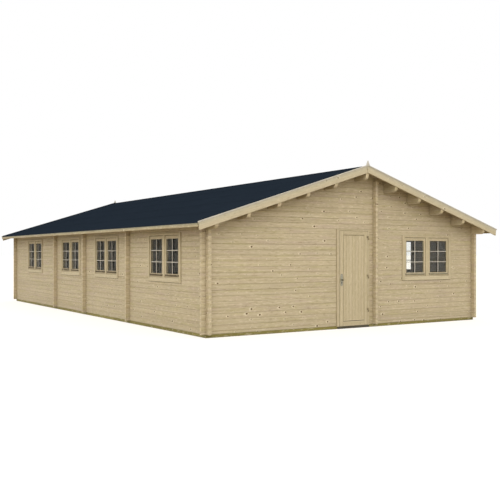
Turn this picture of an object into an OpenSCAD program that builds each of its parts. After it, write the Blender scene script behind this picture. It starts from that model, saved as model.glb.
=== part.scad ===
// Log cabin with a low gable roof, one outward door and nine casement windows.
// Millimetres. Origin on the ground at the centre of the footprint.
// +X is right as seen from the door gable, +Y runs to the back gable, +Z is up.

/* [Walls] */
// Width over the outer faces of the side walls
wall_w = 7640; // [7000:10:8400]
// Length over the outer faces of the gable walls
wall_l = 13580; // [13000:10:14400]
// Thickness of a wall log
log_t = 70; // [60:1:80]
// Height of one log course
log_h = 115; // [110:0.5:118]
// Full courses in a side wall below the eaves beam
courses = 18; // [18:1:20]
// How far log ends stand out past a crossing wall
log_end = 100; // [70:1:130]
// Depth of the groove between two courses
groove = 7; // [4:0.5:10]
// Height of the foundation beams
base_h = 63; // [50:1:90]

/* [Cross logs] */
// First side stack, front wall face to stack middle
cross_y1 = 3735; // [3700:5:3770]
// Second side stack, front wall face to stack middle
cross_y2 = 6685; // [6650:5:6720]
// Third side stack, front wall face to stack middle
cross_y3 = 9155; // [9120:5:9190]
// Gable stack, right of the middle
cross_x = 532; // [520:1:560]

/* [Roof] */
// Slope of the roof in degrees
roof_pitch = 17.5; // [14:0.1:20]
// Height of the eaves beam at its outer face
eaves_beam_h = 207; // [190:1:240]
// Reach of the roof past a side wall
eaves_reach = 400; // [360:5:450]
// Reach of the roof past a gable wall
gable_reach = 414; // [340:2:450]
// Thickness of the roof boards
board_t = 20; // [16:1:28]
// Thickness of the roofing felt
felt_t = 6; // [4:0.5:10]
// Fine gap between parts that lie on each other on the slope
roof_seat = 0.2; // [0.1:0.1:0.4]
// Height of the eaves fascia
fascia_h = 75; // [65:1:110]
// Thickness of the eaves fascia
fascia_t = 20; // [16:1:28]

/* [Purlins] */
// Width of a purlin
purlin_w = 80; // [70:1:95]
// Depth of a side purlin on its middle line
purlin_d = 240; // [200:1:260]
// Depth of the ridge beam on its middle line
ridge_d = 290; // [240:1:310]
// First side purlin, from the ridge
purlin_first = 865; // [840:5:890]
// Side purlins on each slope
purlin_count = 4; // [3:1:4]
// Radius that rounds the lower corner of a beam end
purlin_round = 110; // [60:5:150]

/* [Gable boards] */
// Width of a bargeboard across the slope
barge_w = 165; // [150:1:190]
// Thickness of a bargeboard
barge_t = 28; // [18:1:32]
// Width of the trim strip across the slope
trim_w = 26; // [20:1:60]
// Thickness of the trim strip
trim_t = 8; // [5:1:20]
// Setback of the bargeboard ends behind the eaves edge
barge_in = 20; // [10:1:40]
// Rise of the bargeboard above the roofing
barge_lip = 17; // [10:1:25]
// Fine gap where two boards of one gable meet
mitre_gap = 0.6; // [0.4:0.1:0.9]
// Half width of the foot of a finial
finial_w = 48; // [40:1:90]
// Height of a finial above the bargeboards
finial_h = 90; // [80:1:140]

/* [Windows] */
// Clear width inside a window frame
win_w = 1450; // [1380:5:1500]
// Clear height inside a window frame
win_h = 910; // [880:5:930]
// Clear opening of a window frame under the eaves beam
win_drop = 88; // [80:1:110]
// Thickness of the frame lining
frame_t = 40; // [32:1:45]
// Width of the side casing boards
case_side = 78; // [60:1:85]
// Width of the top casing board
case_top = 50; // [45:1:70]
// Width of the bottom casing board
case_bottom = 94; // [70:1:105]
// Thickness of the casing boards
case_t = 20; // [16:1:26]
// Width of the middle post
mullion_w = 92; // [80:1:130]
// Depth of the middle post face behind the casing face
mullion_back = 4; // [2:1:8]
// Width of the sash stiles
stile_w = 60; // [50:1:70]
// Height of the sash top rail
sash_top = 75; // [60:1:85]
// Height of the sash bottom rail
sash_bottom = 86; // [80:1:110]
// Depth of a sash
sash_t = 45; // [40:1:55]
// Sash face behind the casing face
sash_back = 18; // [8:1:22]
// Gap beside and over a sash
sash_gap = 0.8; // [0.5:0.1:0.9]
// Height of the drip moulding
drip_h = 48; // [40:1:54]
// Reach of the drip moulding
drip_reach = 22; // [14:1:28]
// Thickness of the glass
glass_t = 6; // [4:1:12]
// Glass face behind the sash face
glass_back = 12; // [8:1:20]
// Depth of the glass in its groove
glass_hold = 8; // [5:1:12]
// Front window lower than the side windows
front_low = 16; // [0:1:40]
// Front window middle, right of the middle
front_win_x = 2200; // [2150:5:2260]
// First left window, shift from the middle of its bay
left_shift = -35; // [-200:5:200]
// First right window, gap between its casing and the first cross logs
right_gap = 110; // [60:5:300]

/* [Door] */
// Width of the door leaf
leaf_w = 805; // [780:1:830]
// Hinge edge of the leaf, right of the middle
leaf_edge = 330; // [310:1:335]
// Thickness of the door leaf
leaf_t = 44; // [40:1:50]
// Gap at the hinge edge of the leaf
hinge_gap = 5; // [5:0.5:7]
// Gap at the free edge of the leaf
free_gap = 8; // [8:0.5:10]
// Gap over and under the leaf
leaf_gap = 5; // [5:0.5:8]
// Thickness of the door jambs
jamb_t = 40; // [35:1:45]
// Thickness of the door head
head_t = 34; // [28:1:40]
// Width of the casing on the lock side
door_case_left = 78; // [60:1:110]
// Width of the casing on the hinge side
door_case_right = 42; // [40:1:60]
// Reach of the stop strip into the doorway
stop_w = 15; // [12:1:20]
// Height of the threshold
sill_h = 50; // [40:1:52]
// Reach of the threshold past the wall face
sill_reach = 12; // [6:1:18]
// Width of the leaf stiles
leaf_stile = 97; // [90:1:135]
// Height of the leaf top rail
leaf_top = 84; // [70:1:110]
// Height of the leaf bottom rail
leaf_bottom = 104; // [90:1:140]
// Depth of the panel recess on each face
panel_back = 12; // [8:1:14]

/* [Hinges and handle] */
// Radius of a hinge barrel
hinge_r = 8; // [7:0.5:9]
// Hinge axis in front of the leaf face
hinge_off = 14; // [13.5:0.5:16]
// Height of one hinge half
hinge_h = 42; // [34:1:50]
// Length of a hinge plate
hinge_plate = 32; // [26:1:34]
// Gap between two hinge halves
hinge_lift = 1; // [0.5:0.5:2]
// Radius of a hinge pin
hinge_pin_r = 4; // [3:0.5:5]
// Running gap around a hinge pin
pin_gap = 0.3; // [0.2:0.1:0.5]
// Lowest hinge above the ground
hinge_z1 = 345; // [280:5:400]
// Middle hinge above the ground
hinge_z2 = 1095; // [1000:5:1150]
// Highest hinge above the ground
hinge_z3 = 1960; // [1880:5:1975]
// Handle plate width
plate_w = 70; // [50:1:80]
// Handle plate height
plate_h = 264; // [220:2:290]
// Handle plate thickness
plate_t = 4; // [3:0.5:6]
// Handle plate middle above the ground
plate_z = 1074; // [1000:2:1100]
// Radius of the knob
knob_r = 26; // [22:0.5:30]
// Thickness of the knob
knob_t = 22; // [18:1:28]
// Radius of the knob neck
neck_r = 10; // [8:0.5:12]
// Reach of the knob from the plate
knob_reach = 48; // [40:1:52]

/* [Floor] */
// Thickness of the floor boards
floor_t = 28; // [20:1:32]
// Width of a floor joist
joist_w = 60; // [45:1:80]
// Number of floor joists
joist_count = 21; // [15:1:25]
// Fine gap where foundation beams meet
beam_gap = 0.6; // [0.4:0.1:0.9]

/* [Hidden] */
$fn = 48;
half_w = wall_w / 2;
half_l = wall_l / 2;
eave_z = base_h + courses * log_h;
head_z = eave_z + log_h / 2;
slope = tan(roof_pitch);
plumb = 1 / cos(roof_pitch);
under_0 = eave_z + eaves_beam_h + slope * half_w;
board_0 = under_0 + roof_seat;
top_0 = board_0 + board_t * plumb;
felt_0 = top_0 + roof_seat + felt_t * plumb;
barge_0 = felt_0 + barge_lip * plumb;
eaves_x = half_w + eaves_reach;
deck_y = half_l + gable_reach - barge_t - trim_t;
cross_ys = [cross_y1, cross_y2, cross_y3];
stack_top = floor((under_0 - slope * (cross_x + log_t) - base_h) / log_h - 0.3);
purlin_gap = (half_w - log_t / 2 - purlin_first) / purlin_count;
bay_1 = (log_t + cross_y1 - log_t / 2) / 2;
bay_2 = (cross_y1 + cross_y2) / 2;
bay_3 = (cross_y2 + cross_y3) / 2;
bay_4 = (cross_y3 + log_t / 2 + wall_l - log_t) / 2;
left_wins = [bay_1 + left_shift, bay_2, bay_3, bay_4];
right_wins = [cross_y1 - log_t / 2 - right_gap - case_side - win_w / 2, bay_2, bay_3, bay_4];
win_z = eave_z - win_drop - win_h;
drip_z = sash_bottom - 16 - drip_h;
open_w = win_w + 2 * frame_t;
open_h = win_h + 2 * frame_t;
sash_w = (win_w - mullion_w) / 2;
leaf_left = leaf_edge - leaf_w;
jamb_left = leaf_left - free_gap;
jamb_right = leaf_edge + hinge_gap;
rough_left = jamb_left - jamb_t;
rough_right = jamb_right + jamb_t;
leaf_z = sill_h + leaf_gap;
leaf_h = head_z - head_t - leaf_gap - leaf_z;
hinge_x = leaf_edge + hinge_gap / 2;
hinge_y = -half_l - case_t - hinge_off;
hinge_zs = [hinge_z1, hinge_z2, hinge_z3];
tiny = 1;
far = 40000;

// Height of the beam tops at distance x from the ridge
function under(x) = under_0 - slope * abs(x);
// Height of a level given in courses above the foundation
function level(n) = base_h + n * log_h;

// Upright section of stacked logs with a groove at each joint
module log_section(z0, z1, joints) {
    inner = [for (j = joints) if (j > z0 + 3 * groove && j < z1 - 3 * groove) j];
    n = len(inner);
    outside = [for (j = inner) each [[0, j - groove], [groove, j], [0, j + groove]]];
    back = [for (i = [n - 1 : -1 : 0])
        each [[log_t, inner[i] + groove], [log_t - groove, inner[i]], [log_t, inner[i] - groove]]];
    polygon(concat(
        [[groove, z0], [0, z0 + groove]], outside, [[0, z1 - groove], [groove, z1]],
        [[log_t - groove, z1], [log_t, z1 - groove]], back,
        [[log_t, z0 + groove], [log_t - groove, z0]]));
}

// Logs that run along X with their front face on the plane y
module logs_x(x0, x1, y, z0, z1, joints)
    translate([x0, y, 0])
        rotate([90, 0, 90])
            linear_extrude(x1 - x0)
                log_section(z0, z1, joints);

// Logs that run along Y with their left face on the plane x
module logs_y(x, y0, y1, z0, z1, joints)
    translate([x, y1, 0])
        rotate([90, 0, 0])
            linear_extrude(y1 - y0)
                log_section(z0, z1, joints);

function gable_joints(n) = [for (k = [0 : n]) level(k + 0.5)];
function side_joints(n) = [for (k = [1 : n]) level(k)];

// Places in a crossing column that belong to the logs along Y
module side_necks(x, y, first, last)
    for (k = [first : last])
        translate([x, y, level(k + 0.25)])
            cube([log_t, log_t, log_h / 2]);

// Places in a crossing column that belong to the logs along X
module gable_necks(x, y, last) {
    translate([x, y, level(0) - tiny])
        cube([log_t, log_t, log_h / 4 + tiny]);
    for (k = [0 : last])
        translate([x, y, level(k + 0.75)])
            cube([log_t, log_t, log_h / 2]);
}

// Place that the eaves beam takes above the last neck
module eaves_slot(x, y)
    translate([x, y, level(courses + 0.25)])
        cube([log_t, log_t, log_h]);

// Window opening through a wall, in the wall's own place
module win_opening()
    translate([-open_w / 2, -log_t, win_z - frame_t])
        cube([open_w, 3 * log_t, open_h]);

module on_front(x) translate([x, -half_l, -front_low]) children();
module on_left(y) translate([-half_w, y - half_l, 0]) rotate([0, 0, -90]) children();
module on_right(y) translate([half_w, y - half_l, 0]) rotate([0, 0, 90]) children();

// Foundation and floor
module foundation_beams() color("DarkOliveGreen") {
    translate([-half_w, -half_l, 0])
        cube([half_w + rough_left, log_t, base_h]);
    translate([rough_right, -half_l, 0])
        cube([half_w - rough_right, log_t, base_h]);
    translate([-half_w, half_l - log_t, 0])
        cube([wall_w, log_t, base_h]);
    for (x = [-half_w, half_w - log_t])
        translate([x, -half_l + log_t + beam_gap, 0])
            cube([log_t, wall_l - 2 * log_t - 2 * beam_gap, base_h]);
}

module floor_joists() color("DarkOliveGreen")
    for (i = [0 : joist_count - 1])
        translate([-half_w + log_t,
            -half_l + log_t + (i + 0.5) * (wall_l - 2 * log_t) / joist_count - joist_w / 2, 0])
            cube([wall_w - 2 * log_t, joist_w, base_h - floor_t]);

module floor_boards() color("BurlyWood")
    translate([-half_w + log_t, -half_l + log_t, base_h - floor_t])
        cube([wall_w - 2 * log_t, wall_l - 2 * log_t, floor_t]);

// Walls
module front_wall_left() color("Wheat")
    difference() {
        logs_x(-half_w - log_end, rough_left, -half_l, base_h, head_z, gable_joints(courses));
        side_necks(-half_w, -half_l, 0, courses - 1);
        eaves_slot(-half_w, -half_l);
    }

module front_wall_right() color("Wheat")
    difference() {
        logs_x(rough_right, half_w + log_end, -half_l, base_h, head_z, gable_joints(courses));
        side_necks(half_w - log_t, -half_l, 0, courses - 1);
        eaves_slot(half_w - log_t, -half_l);
        side_necks(cross_x - log_t / 2, -half_l, 0, courses);
        on_front(front_win_x) win_opening();
    }

module back_wall() color("Wheat")
    difference() {
        logs_x(-half_w - log_end, half_w + log_end, half_l - log_t, base_h, head_z, gable_joints(courses));
        for (x = [-half_w, half_w - log_t]) {
            side_necks(x, half_l - log_t, 0, courses - 1);
            eaves_slot(x, half_l - log_t);
        }
        side_necks(cross_x - log_t / 2, half_l - log_t, 0, courses);
    }

// Gable logs under the roof slopes, cut out for the beams that pass through
module gable(y)
    difference() {
        logs_x(-half_w + log_t, half_w - log_t, y, head_z, under_0 + log_h, gable_joints(stack_top + 4));
        for (s = [-1, 1])
            translate([0, y + 2 * log_t, 0])
                rotate([90, 0, 0])
                    linear_extrude(3 * log_t)
                        polygon([[0, under_0], [s * half_w, under(half_w)],
                            [s * half_w, under_0 + 2 * log_h], [0, under_0 + 2 * log_h]]);
        side_necks(cross_x - log_t / 2, y, courses, stack_top - 1);
        for (s = [-1, 1])
            for (i = [0 : purlin_count - 1])
                translate([s * (purlin_first + i * purlin_gap) - purlin_w / 2, y - log_t,
                    under(purlin_first + i * purlin_gap) - purlin_d])
                    cube([purlin_w, 3 * log_t, 2 * purlin_d]);
        translate([-purlin_w / 2, y - log_t, under_0 - ridge_d])
            cube([purlin_w, 3 * log_t, 2 * ridge_d]);
    }

module front_gable() color("Wheat") gable(-half_l);
module back_gable() color("Wheat") gable(half_l - log_t);

module side_wall(x)
    difference() {
        logs_y(x, -half_l - log_end, half_l + log_end, base_h, eave_z, side_joints(courses));
        gable_necks(x, -half_l, courses - 1);
        gable_necks(x, half_l - log_t, courses - 1);
        for (c = cross_ys)
            gable_necks(x, c - half_l - log_t / 2, courses - 1);
    }

module left_wall() color("Wheat")
    difference() {
        side_wall(-half_w);
        for (c = left_wins)
            on_left(c) win_opening();
    }

module right_wall() color("Wheat")
    difference() {
        side_wall(half_w - log_t);
        for (c = right_wins)
            on_right(c) win_opening();
    }

// Stacks of cross log ends
module gable_stack(y)
    difference() {
        logs_y(cross_x - log_t / 2, y - log_end, y + log_t + log_end,
            base_h, level(stack_top), side_joints(stack_top));
        gable_necks(cross_x - log_t / 2, y, stack_top - 1);
    }

module front_cross_logs() color("Wheat") gable_stack(-half_l);
module back_cross_logs() color("Wheat") gable_stack(half_l - log_t);

module side_stacks(x)
    for (c = cross_ys)
        difference() {
            logs_x(x - log_end, x + log_t + log_end, c - half_l - log_t / 2,
                base_h, head_z, gable_joints(courses));
            side_necks(x, c - half_l - log_t / 2, 0, courses - 1);
            eaves_slot(x, c - half_l - log_t / 2);
        }

module left_cross_logs() color("Wheat") side_stacks(-half_w);
module right_cross_logs() color("Wheat") side_stacks(half_w - log_t);

// Rounds the lower corners at both ends of a beam whose foot is at height z
module end_rounds(x, w, z)
    for (s = [-1, 1])
        translate([x - w, 0, 0])
            rotate([90, 0, 90])
                linear_extrude(2 * w)
                    difference() {
                        translate([s * (deck_y - purlin_round / 2 + tiny / 2), z + purlin_round / 2 - tiny / 2])
                            square([purlin_round + tiny, purlin_round + tiny], center = true);
                        translate([s * (deck_y - purlin_round), z + purlin_round])
                            circle(purlin_round);
                    }

// Beam along the cabin with its top on the roof slope
module sloped_beam(x, w, foot)
    difference() {
        translate([0, deck_y, 0])
            rotate([90, 0, 0])
                linear_extrude(2 * deck_y)
                    polygon([[x - w / 2, foot], [x + w / 2, foot],
                        [x + w / 2, under(x + w / 2)], [x - w / 2, under(x - w / 2)]]);
        end_rounds(x, w, foot);
    }

module eaves_beam(s)
    difference() {
        sloped_beam(s * (half_w - log_t / 2), log_t, eave_z);
        for (y = concat([-half_l, half_l - log_t], [for (c = cross_ys) c - half_l - log_t / 2]))
            translate([s * (half_w - log_t / 2) - log_t, y, eave_z - tiny])
                cube([2 * log_t, log_t, log_h / 4 + tiny]);
    }

module left_eaves_beam() color("Wheat") eaves_beam(-1);
module right_eaves_beam() color("Wheat") eaves_beam(1);

module ridge_beam() color("Wheat")
    difference() {
        translate([0, deck_y, 0])
            rotate([90, 0, 0])
                linear_extrude(2 * deck_y)
                    polygon([[-purlin_w / 2, under_0 - ridge_d], [purlin_w / 2, under_0 - ridge_d],
                        [purlin_w / 2, under(purlin_w / 2)], [0, under_0],
                        [-purlin_w / 2, under(purlin_w / 2)]]);
        end_rounds(0, purlin_w, under_0 - ridge_d);
    }

module purlins(s)
    for (i = [0 : purlin_count - 1])
        sloped_beam(s * (purlin_first + i * purlin_gap), purlin_w,
            under(purlin_first + i * purlin_gap) - purlin_d);

module left_purlins() color("Wheat") purlins(-1);
module right_purlins() color("Wheat") purlins(1);

// Roof layers
module roof_layer(s, z0, t, reach)
    translate([0, deck_y, 0])
        rotate([90, 0, 0])
            linear_extrude(2 * deck_y)
                polygon([[0, z0], [s * reach, z0 - slope * reach],
                    [s * reach, z0 - slope * reach + t * plumb], [0, z0 + t * plumb]]);

module left_roof_boards() color("Tan") roof_layer(-1, board_0, board_t, eaves_x - fascia_t);
module right_roof_boards() color("Tan") roof_layer(1, board_0, board_t, eaves_x - fascia_t);
module left_roofing() color("DarkSlateGray") roof_layer(-1, top_0 + roof_seat, felt_t, eaves_x);
module right_roofing() color("DarkSlateGray") roof_layer(1, top_0 + roof_seat, felt_t, eaves_x);

module fascia(s)
    translate([0, deck_y, 0])
        rotate([90, 0, 0])
            linear_extrude(2 * deck_y)
                polygon([[s * (eaves_x - fascia_t), top_0 - slope * eaves_x - fascia_h],
                    [s * eaves_x, top_0 - slope * eaves_x - fascia_h],
                    [s * eaves_x, top_0 - slope * eaves_x],
                    [s * (eaves_x - fascia_t), top_0 - slope * (eaves_x - fascia_t)]]);

module left_fascia() color("BurlyWood") fascia(-1);
module right_fascia() color("BurlyWood") fascia(1);

// Board along both slopes of a gable, between the planes y and y + t
module gable_boards(y, w, t, reach)
    for (s = [-1, 1])
        translate([0, y + t, 0])
            rotate([90, 0, 0])
                linear_extrude(t)
                    polygon([[s * mitre_gap / 2, barge_0 - slope * mitre_gap / 2],
                        [s * reach, barge_0 - slope * reach],
                        [s * reach, barge_0 - slope * reach - w * plumb],
                        [s * mitre_gap / 2, barge_0 - slope * mitre_gap / 2 - w * plumb]]);

module front_bargeboards() color("BurlyWood")
    gable_boards(-deck_y - barge_t, barge_w, barge_t, eaves_x - barge_in);

module back_bargeboards() color("BurlyWood")
    gable_boards(deck_y, barge_w, barge_t, eaves_x - barge_in);

module front_barge_trims() color("BurlyWood")
    gable_boards(-deck_y - barge_t - trim_t, trim_w, trim_t, eaves_x);

module back_barge_trims() color("BurlyWood")
    gable_boards(deck_y + barge_t, trim_w, trim_t, eaves_x);

// Spire with hollow flanks that sits astride the bargeboards
module finial(y)
    translate([0, y + barge_t + trim_t, 0])
        rotate([90, 0, 0])
            linear_extrude(barge_t + trim_t)
                polygon(concat(
                    [[0, barge_0 + roof_seat]],
                    [for (i = [0 : 8]) let (u = 1 - i / 8)
                        [3 + (finial_w - 3) * u * u, barge_0 + roof_seat - slope * finial_w * (u * u)
                            + finial_h * (1 - u * u) * (1 - 0.35 * u)]],
                    [for (i = [8 : -1 : 0]) let (u = 1 - i / 8)
                        [-3 - (finial_w - 3) * u * u, barge_0 + roof_seat - slope * finial_w * (u * u)
                            + finial_h * (1 - u * u) * (1 - 0.35 * u)]]));

module front_finial() color("WhiteSmoke") finial(-deck_y - barge_t - trim_t);
module back_finial() color("WhiteSmoke") finial(deck_y);

// Window parts, outer wall face at y = 0 and the room behind it
module window_frame()
    difference() {
        union() {
            translate([-open_w / 2, 0, win_z - frame_t])
                cube([open_w, log_t, open_h]);
            for (y = [-case_t, log_t])
                translate([-win_w / 2 - case_side, y, win_z - case_bottom])
                    cube([win_w + 2 * case_side, case_t, win_h + case_bottom + case_top]);
        }
        for (x = [-win_w / 2, mullion_w / 2])
            translate([x, -2 * case_t, win_z])
                cube([sash_w, log_t + 4 * case_t, win_h]);
        translate([-mullion_w / 2 - tiny, -case_t - tiny, win_z])
            cube([mullion_w + 2 * tiny, mullion_back + tiny, win_h]);
    }

module window_sashes()
    for (x = [-win_w / 2 + sash_gap, mullion_w / 2 + sash_gap])
        difference() {
            union() {
                translate([x, sash_back - case_t, win_z])
                    cube([sash_w - 2 * sash_gap, sash_t, win_h - sash_gap]);
                translate([x, sash_back - case_t, win_z])
                    rotate([90, 0, 90])
                        linear_extrude(sash_w - 2 * sash_gap)
                            polygon([[tiny, drip_z], [-drip_reach, drip_z], [-drip_reach, drip_z + 12],
                                [-drip_reach * 0.45, drip_z + drip_h * 0.75],
                                [-4, drip_z + drip_h], [tiny, drip_z + drip_h]]);
            }
            translate([x + stile_w, -log_t, win_z + sash_bottom])
                cube([sash_w - 2 * sash_gap - 2 * stile_w, 3 * log_t, win_h - sash_bottom - sash_top]);
            glass_pane(x);
        }

module glass_pane(x)
    translate([x + stile_w - glass_hold, sash_back - case_t + glass_back, win_z + sash_bottom - glass_hold])
        cube([sash_w - 2 * sash_gap - 2 * stile_w + 2 * glass_hold, glass_t,
            win_h - sash_bottom - sash_top + 2 * glass_hold]);

module window_glass()
    for (x = [-win_w / 2 + sash_gap, mullion_w / 2 + sash_gap])
        glass_pane(x);

module front_window_frame() color("Wheat") on_front(front_win_x) window_frame();
module front_window_sashes() color("Wheat") on_front(front_win_x) window_sashes();
module front_window_glass() color("LightSteelBlue") on_front(front_win_x) window_glass();
module left_window_frames() color("Wheat") for (c = left_wins) on_left(c) window_frame();
module left_window_sashes() color("Wheat") for (c = left_wins) on_left(c) window_sashes();
module left_window_glass() color("LightSteelBlue") for (c = left_wins) on_left(c) window_glass();
module right_window_frames() color("Wheat") for (c = right_wins) on_right(c) window_frame();
module right_window_sashes() color("Wheat") for (c = right_wins) on_right(c) window_sashes();
module right_window_glass() color("LightSteelBlue") for (c = right_wins) on_right(c) window_glass();

// Door frame with casing outside and inside and a stop behind the leaf
module door_frame() color("Wheat")
    difference() {
        union() {
            translate([rough_left, -half_l, sill_h])
                cube([rough_right - rough_left, log_t, head_z - sill_h]);
            for (y = [-half_l - case_t, -half_l + log_t])
                translate([jamb_left - door_case_left, y, y < -half_l ? sill_h : base_h])
                    cube([jamb_right - jamb_left + door_case_left + door_case_right, case_t,
                        head_z - (y < -half_l ? sill_h : base_h)]);
        }
        translate([jamb_left, -half_l - 2 * case_t, 0])
            cube([jamb_right - jamb_left, 2 * case_t + leaf_t - case_t + leaf_gap, head_z - head_t]);
        translate([jamb_left + stop_w, -half_l - 2 * case_t, 0])
            cube([jamb_right - jamb_left - 2 * stop_w, log_t + 4 * case_t, head_z - head_t - stop_w]);
    }

module door_threshold() color("DimGray")
    translate([rough_left, -half_l - sill_reach, 0])
        cube([rough_right - rough_left, log_t + sill_reach, sill_h]);

// Door leaf with a recessed panel on both faces
module door_leaf() color("BurlyWood")
    difference() {
        translate([leaf_left, -half_l - case_t, leaf_z])
            cube([leaf_w, leaf_t, leaf_h]);
        for (y = [-half_l - case_t - leaf_t + panel_back, -half_l - case_t + leaf_t - panel_back])
            translate([leaf_left + leaf_stile, y, leaf_z + leaf_bottom])
                cube([leaf_w - 2 * leaf_stile, leaf_t, leaf_h - leaf_bottom - leaf_top]);
    }

// Lower hinge halves with their pins, on the casing
module hinge_pins() color("DimGray")
    for (z = hinge_zs)
        translate([hinge_x, hinge_y, z]) {
            cylinder(r = hinge_r, h = hinge_h);
            cylinder(r = hinge_pin_r, h = 2 * hinge_h + hinge_lift);
            translate([0, hinge_r - 2, 0])
                cube([hinge_plate, hinge_off - hinge_r + 2, hinge_h]);
        }

// Upper hinge halves, on the leaf
module door_hinges() color("DimGray")
    for (z = hinge_zs)
        translate([hinge_x, hinge_y, z + hinge_h + hinge_lift])
            difference() {
                union() {
                    cylinder(r = hinge_r, h = hinge_h);
                    translate([-hinge_plate, hinge_r - 2, 0])
                        cube([hinge_plate, hinge_off - hinge_r + 2, hinge_h]);
                }
                translate([0, 0, -tiny])
                    cylinder(r = hinge_pin_r + pin_gap, h = hinge_h + 2 * tiny);
            }

// Plate, neck and knob of one handle half, face of the leaf at y = 0
module handle_half() {
    translate([-plate_w / 2, -plate_t, -plate_h / 2])
        cube([plate_w, plate_t, plate_h]);
    rotate([90, 0, 0])
        cylinder(r = neck_r, h = plate_t + knob_reach - knob_t / 2);
    translate([0, knob_t - plate_t - knob_reach, 0])
        rotate([90, 0, 0])
            cylinder(r = knob_r, h = knob_t);
}

module door_handle() color("Silver") {
    translate([leaf_left + leaf_stile / 2, -half_l - case_t, plate_z])
        handle_half();
    translate([leaf_left + leaf_stile / 2, -half_l - case_t + leaf_t, plate_z])
        mirror([0, 1, 0])
            handle_half();
}

foundation_beams();
floor_joists();
floor_boards();
front_wall_left();
front_wall_right();
front_gable();
back_wall();
back_gable();
left_wall();
right_wall();
front_cross_logs();
back_cross_logs();
left_cross_logs();
right_cross_logs();
left_eaves_beam();
right_eaves_beam();
ridge_beam();
left_purlins();
right_purlins();
left_roof_boards();
right_roof_boards();
left_roofing();
right_roofing();
front_bargeboards();
back_bargeboards();
front_barge_trims();
back_barge_trims();
left_fascia();
right_fascia();
front_finial();
back_finial();
front_window_frame();
front_window_sashes();
front_window_glass();
left_window_frames();
left_window_sashes();
left_window_glass();
right_window_frames();
right_window_sashes();
right_window_glass();
door_frame();
door_threshold();
hinge_pins();
door_leaf();
door_hinges();
door_handle();
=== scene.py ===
import math
import random

import bmesh
import bpy
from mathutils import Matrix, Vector


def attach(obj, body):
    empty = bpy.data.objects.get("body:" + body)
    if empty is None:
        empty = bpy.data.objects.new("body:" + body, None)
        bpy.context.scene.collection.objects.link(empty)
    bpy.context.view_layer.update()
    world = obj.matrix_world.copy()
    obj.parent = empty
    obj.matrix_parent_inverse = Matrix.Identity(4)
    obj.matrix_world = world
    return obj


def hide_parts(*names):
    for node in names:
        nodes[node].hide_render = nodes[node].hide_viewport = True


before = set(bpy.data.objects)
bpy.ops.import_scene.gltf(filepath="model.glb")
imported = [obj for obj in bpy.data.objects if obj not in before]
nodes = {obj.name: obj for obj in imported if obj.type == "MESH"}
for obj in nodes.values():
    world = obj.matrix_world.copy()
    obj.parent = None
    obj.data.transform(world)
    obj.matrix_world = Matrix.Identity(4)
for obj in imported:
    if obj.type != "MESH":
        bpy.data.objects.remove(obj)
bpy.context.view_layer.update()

# Sizes of the cabin in metres, as in the solids where they have the piece
HALF_W, HALF_L = 3.82, 6.79
LOG_T, LOG_H, BASE_H = 0.07, 0.115, 0.063
COURSES = 18
EAVE_Z = BASE_H + COURSES * LOG_H
HEAD_Z = EAVE_Z + LOG_H / 2
CROSS_Y = [c - HALF_L for c in (3.735, 6.685, 9.155)]
CROSS_X = 0.532
FLOOR_T = 0.028

# Roof
PITCH = math.radians(17.5)
SLOPE, COS, SIN = math.tan(PITCH), math.cos(PITCH), math.sin(PITCH)
EAVES_BEAM_H, ROOF_SEAT = 0.207, 0.0002
EAVES_REACH, GABLE_REACH = 0.400, 0.414
BOARD_T, FELT_T, FASCIA_T = 0.020, 0.006, 0.020
BARGE_W, BARGE_T, BARGE_LIP = 0.165, 0.028, 0.017
BARGE_SHORT, BARGE_UNDERCUT = 0.021, 0.020
TRIM_T = 0.008
BOARD_0 = EAVE_Z + EAVES_BEAM_H + SLOPE * HALF_W + ROOF_SEAT
FELT_0 = BOARD_0 + BOARD_T / COS + ROOF_SEAT
BARGE_0 = FELT_0 + FELT_T / COS + BARGE_LIP / COS
EAVES_X = HALF_W + EAVES_REACH
BARGE_END = EAVES_X - BARGE_SHORT
DECK_Y = HALF_L + GABLE_REACH - BARGE_T - TRIM_T

# Windows, with depths measured inward from the face of the logs
WIN_W, WIN_H, WIN_DROP = 1.450, 0.910, 0.088
WIN_Z = EAVE_Z - WIN_DROP - WIN_H
LEFT_WINDOWS = [c - HALF_L for c in (1.850, 5.210, 7.920, 11.350)]
RIGHT_WINDOWS = [c - HALF_L for c in (2.790, 5.210, 7.920, 11.350)]
FRONT_WINDOW = 2.200
FRONT_LOW = 0.016
CASE_T, CASE_SIDE, CASE_TOP, CASE_BOTTOM = 0.020, 0.078, 0.050, 0.094
CASE_SHADOW_IN, CASE_SHADOW_T, CASE_SHADOW_H = 0.002, 0.004, 0.005
FRAME_T, MULLION, MULLION_BACK = 0.040, 0.092, 0.004
SASH_W = (WIN_W - MULLION) / 2
SASH_FRONT, SASH_BACK = -0.002, 0.043
SASH_SIDE_GAP, SASH_LOW_GAP, SASH_TOP_GAP = 0.004, 0.003, 0.007
SASH_STILE, SASH_BOTTOM, SASH_TOP = 0.0608, 0.086, 0.075
BAR_HALF_H, BAR_BACK = 0.009, 0.0006
GLASS_FACE, GASKET_FACE, GASKET_W = 0.0098, 0.001, 0.005
INNER_PANE = 0.0388, 0.0422
SASH_SEAL = 0.020, 0.030
DRIP_Z, DRIP_IN = 0.022, 0.026
DRIP = ((0.0, 0.010), (0.009, 0.010), (0.022, 0.032), (0.022, 0.037),
        (0.019, 0.041), (0.004, 0.048), (0.0, 0.048))

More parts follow.
